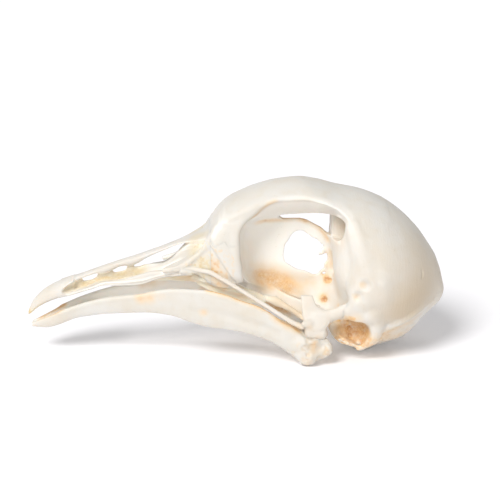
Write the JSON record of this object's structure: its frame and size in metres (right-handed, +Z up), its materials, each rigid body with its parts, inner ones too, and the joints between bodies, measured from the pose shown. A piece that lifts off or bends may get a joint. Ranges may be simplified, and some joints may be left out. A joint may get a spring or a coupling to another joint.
{
  "type": "pigeon skull",
  "caption": "Bare skull of a rock pigeon with its lower jaw, bill to the left, resting on its jaw joints and the base of the braincase.",
  "frame": {"origin": "centre of the underside of the bounding box, on the floor that the skull lies on", "axes": "+X runs from the bill tip to the back of the head, +Y to the animal's right, +Z up; the XZ plane is the plane of symmetry"},
  "size_m": [0.0528, 0.0194, 0.0221],
  "materials": {
    "cranium_bone": "dry ivory bone, satin, darker and warmer in the hollows",
    "bill_bone": "dry ivory bone, satin",
    "jaw_bone": "dry ivory bone, satin, with small tan stains",
    "small_bone": "dry pale bone, satin",
    "palate_bone": "dry bone, satin, tan"
  },
  "bodies": {
    "root": {"cranium": "cranium_bone", "lacrimal_left": "cranium_bone", "lacrimal_right": "cranium_bone", "upper_bill": "bill_bone", "mandible": "jaw_bone", "quadrate_left": "small_bone", "quadrate_right": "small_bone", "jugal_left": "small_bone", "jugal_right": "small_bone", "pterygoid_left": "palate_bone", "pterygoid_right": "palate_bone", "palatine_left": "palate_bone", "palatine_right": "palate_bone"}
  },
  "joints": []
}
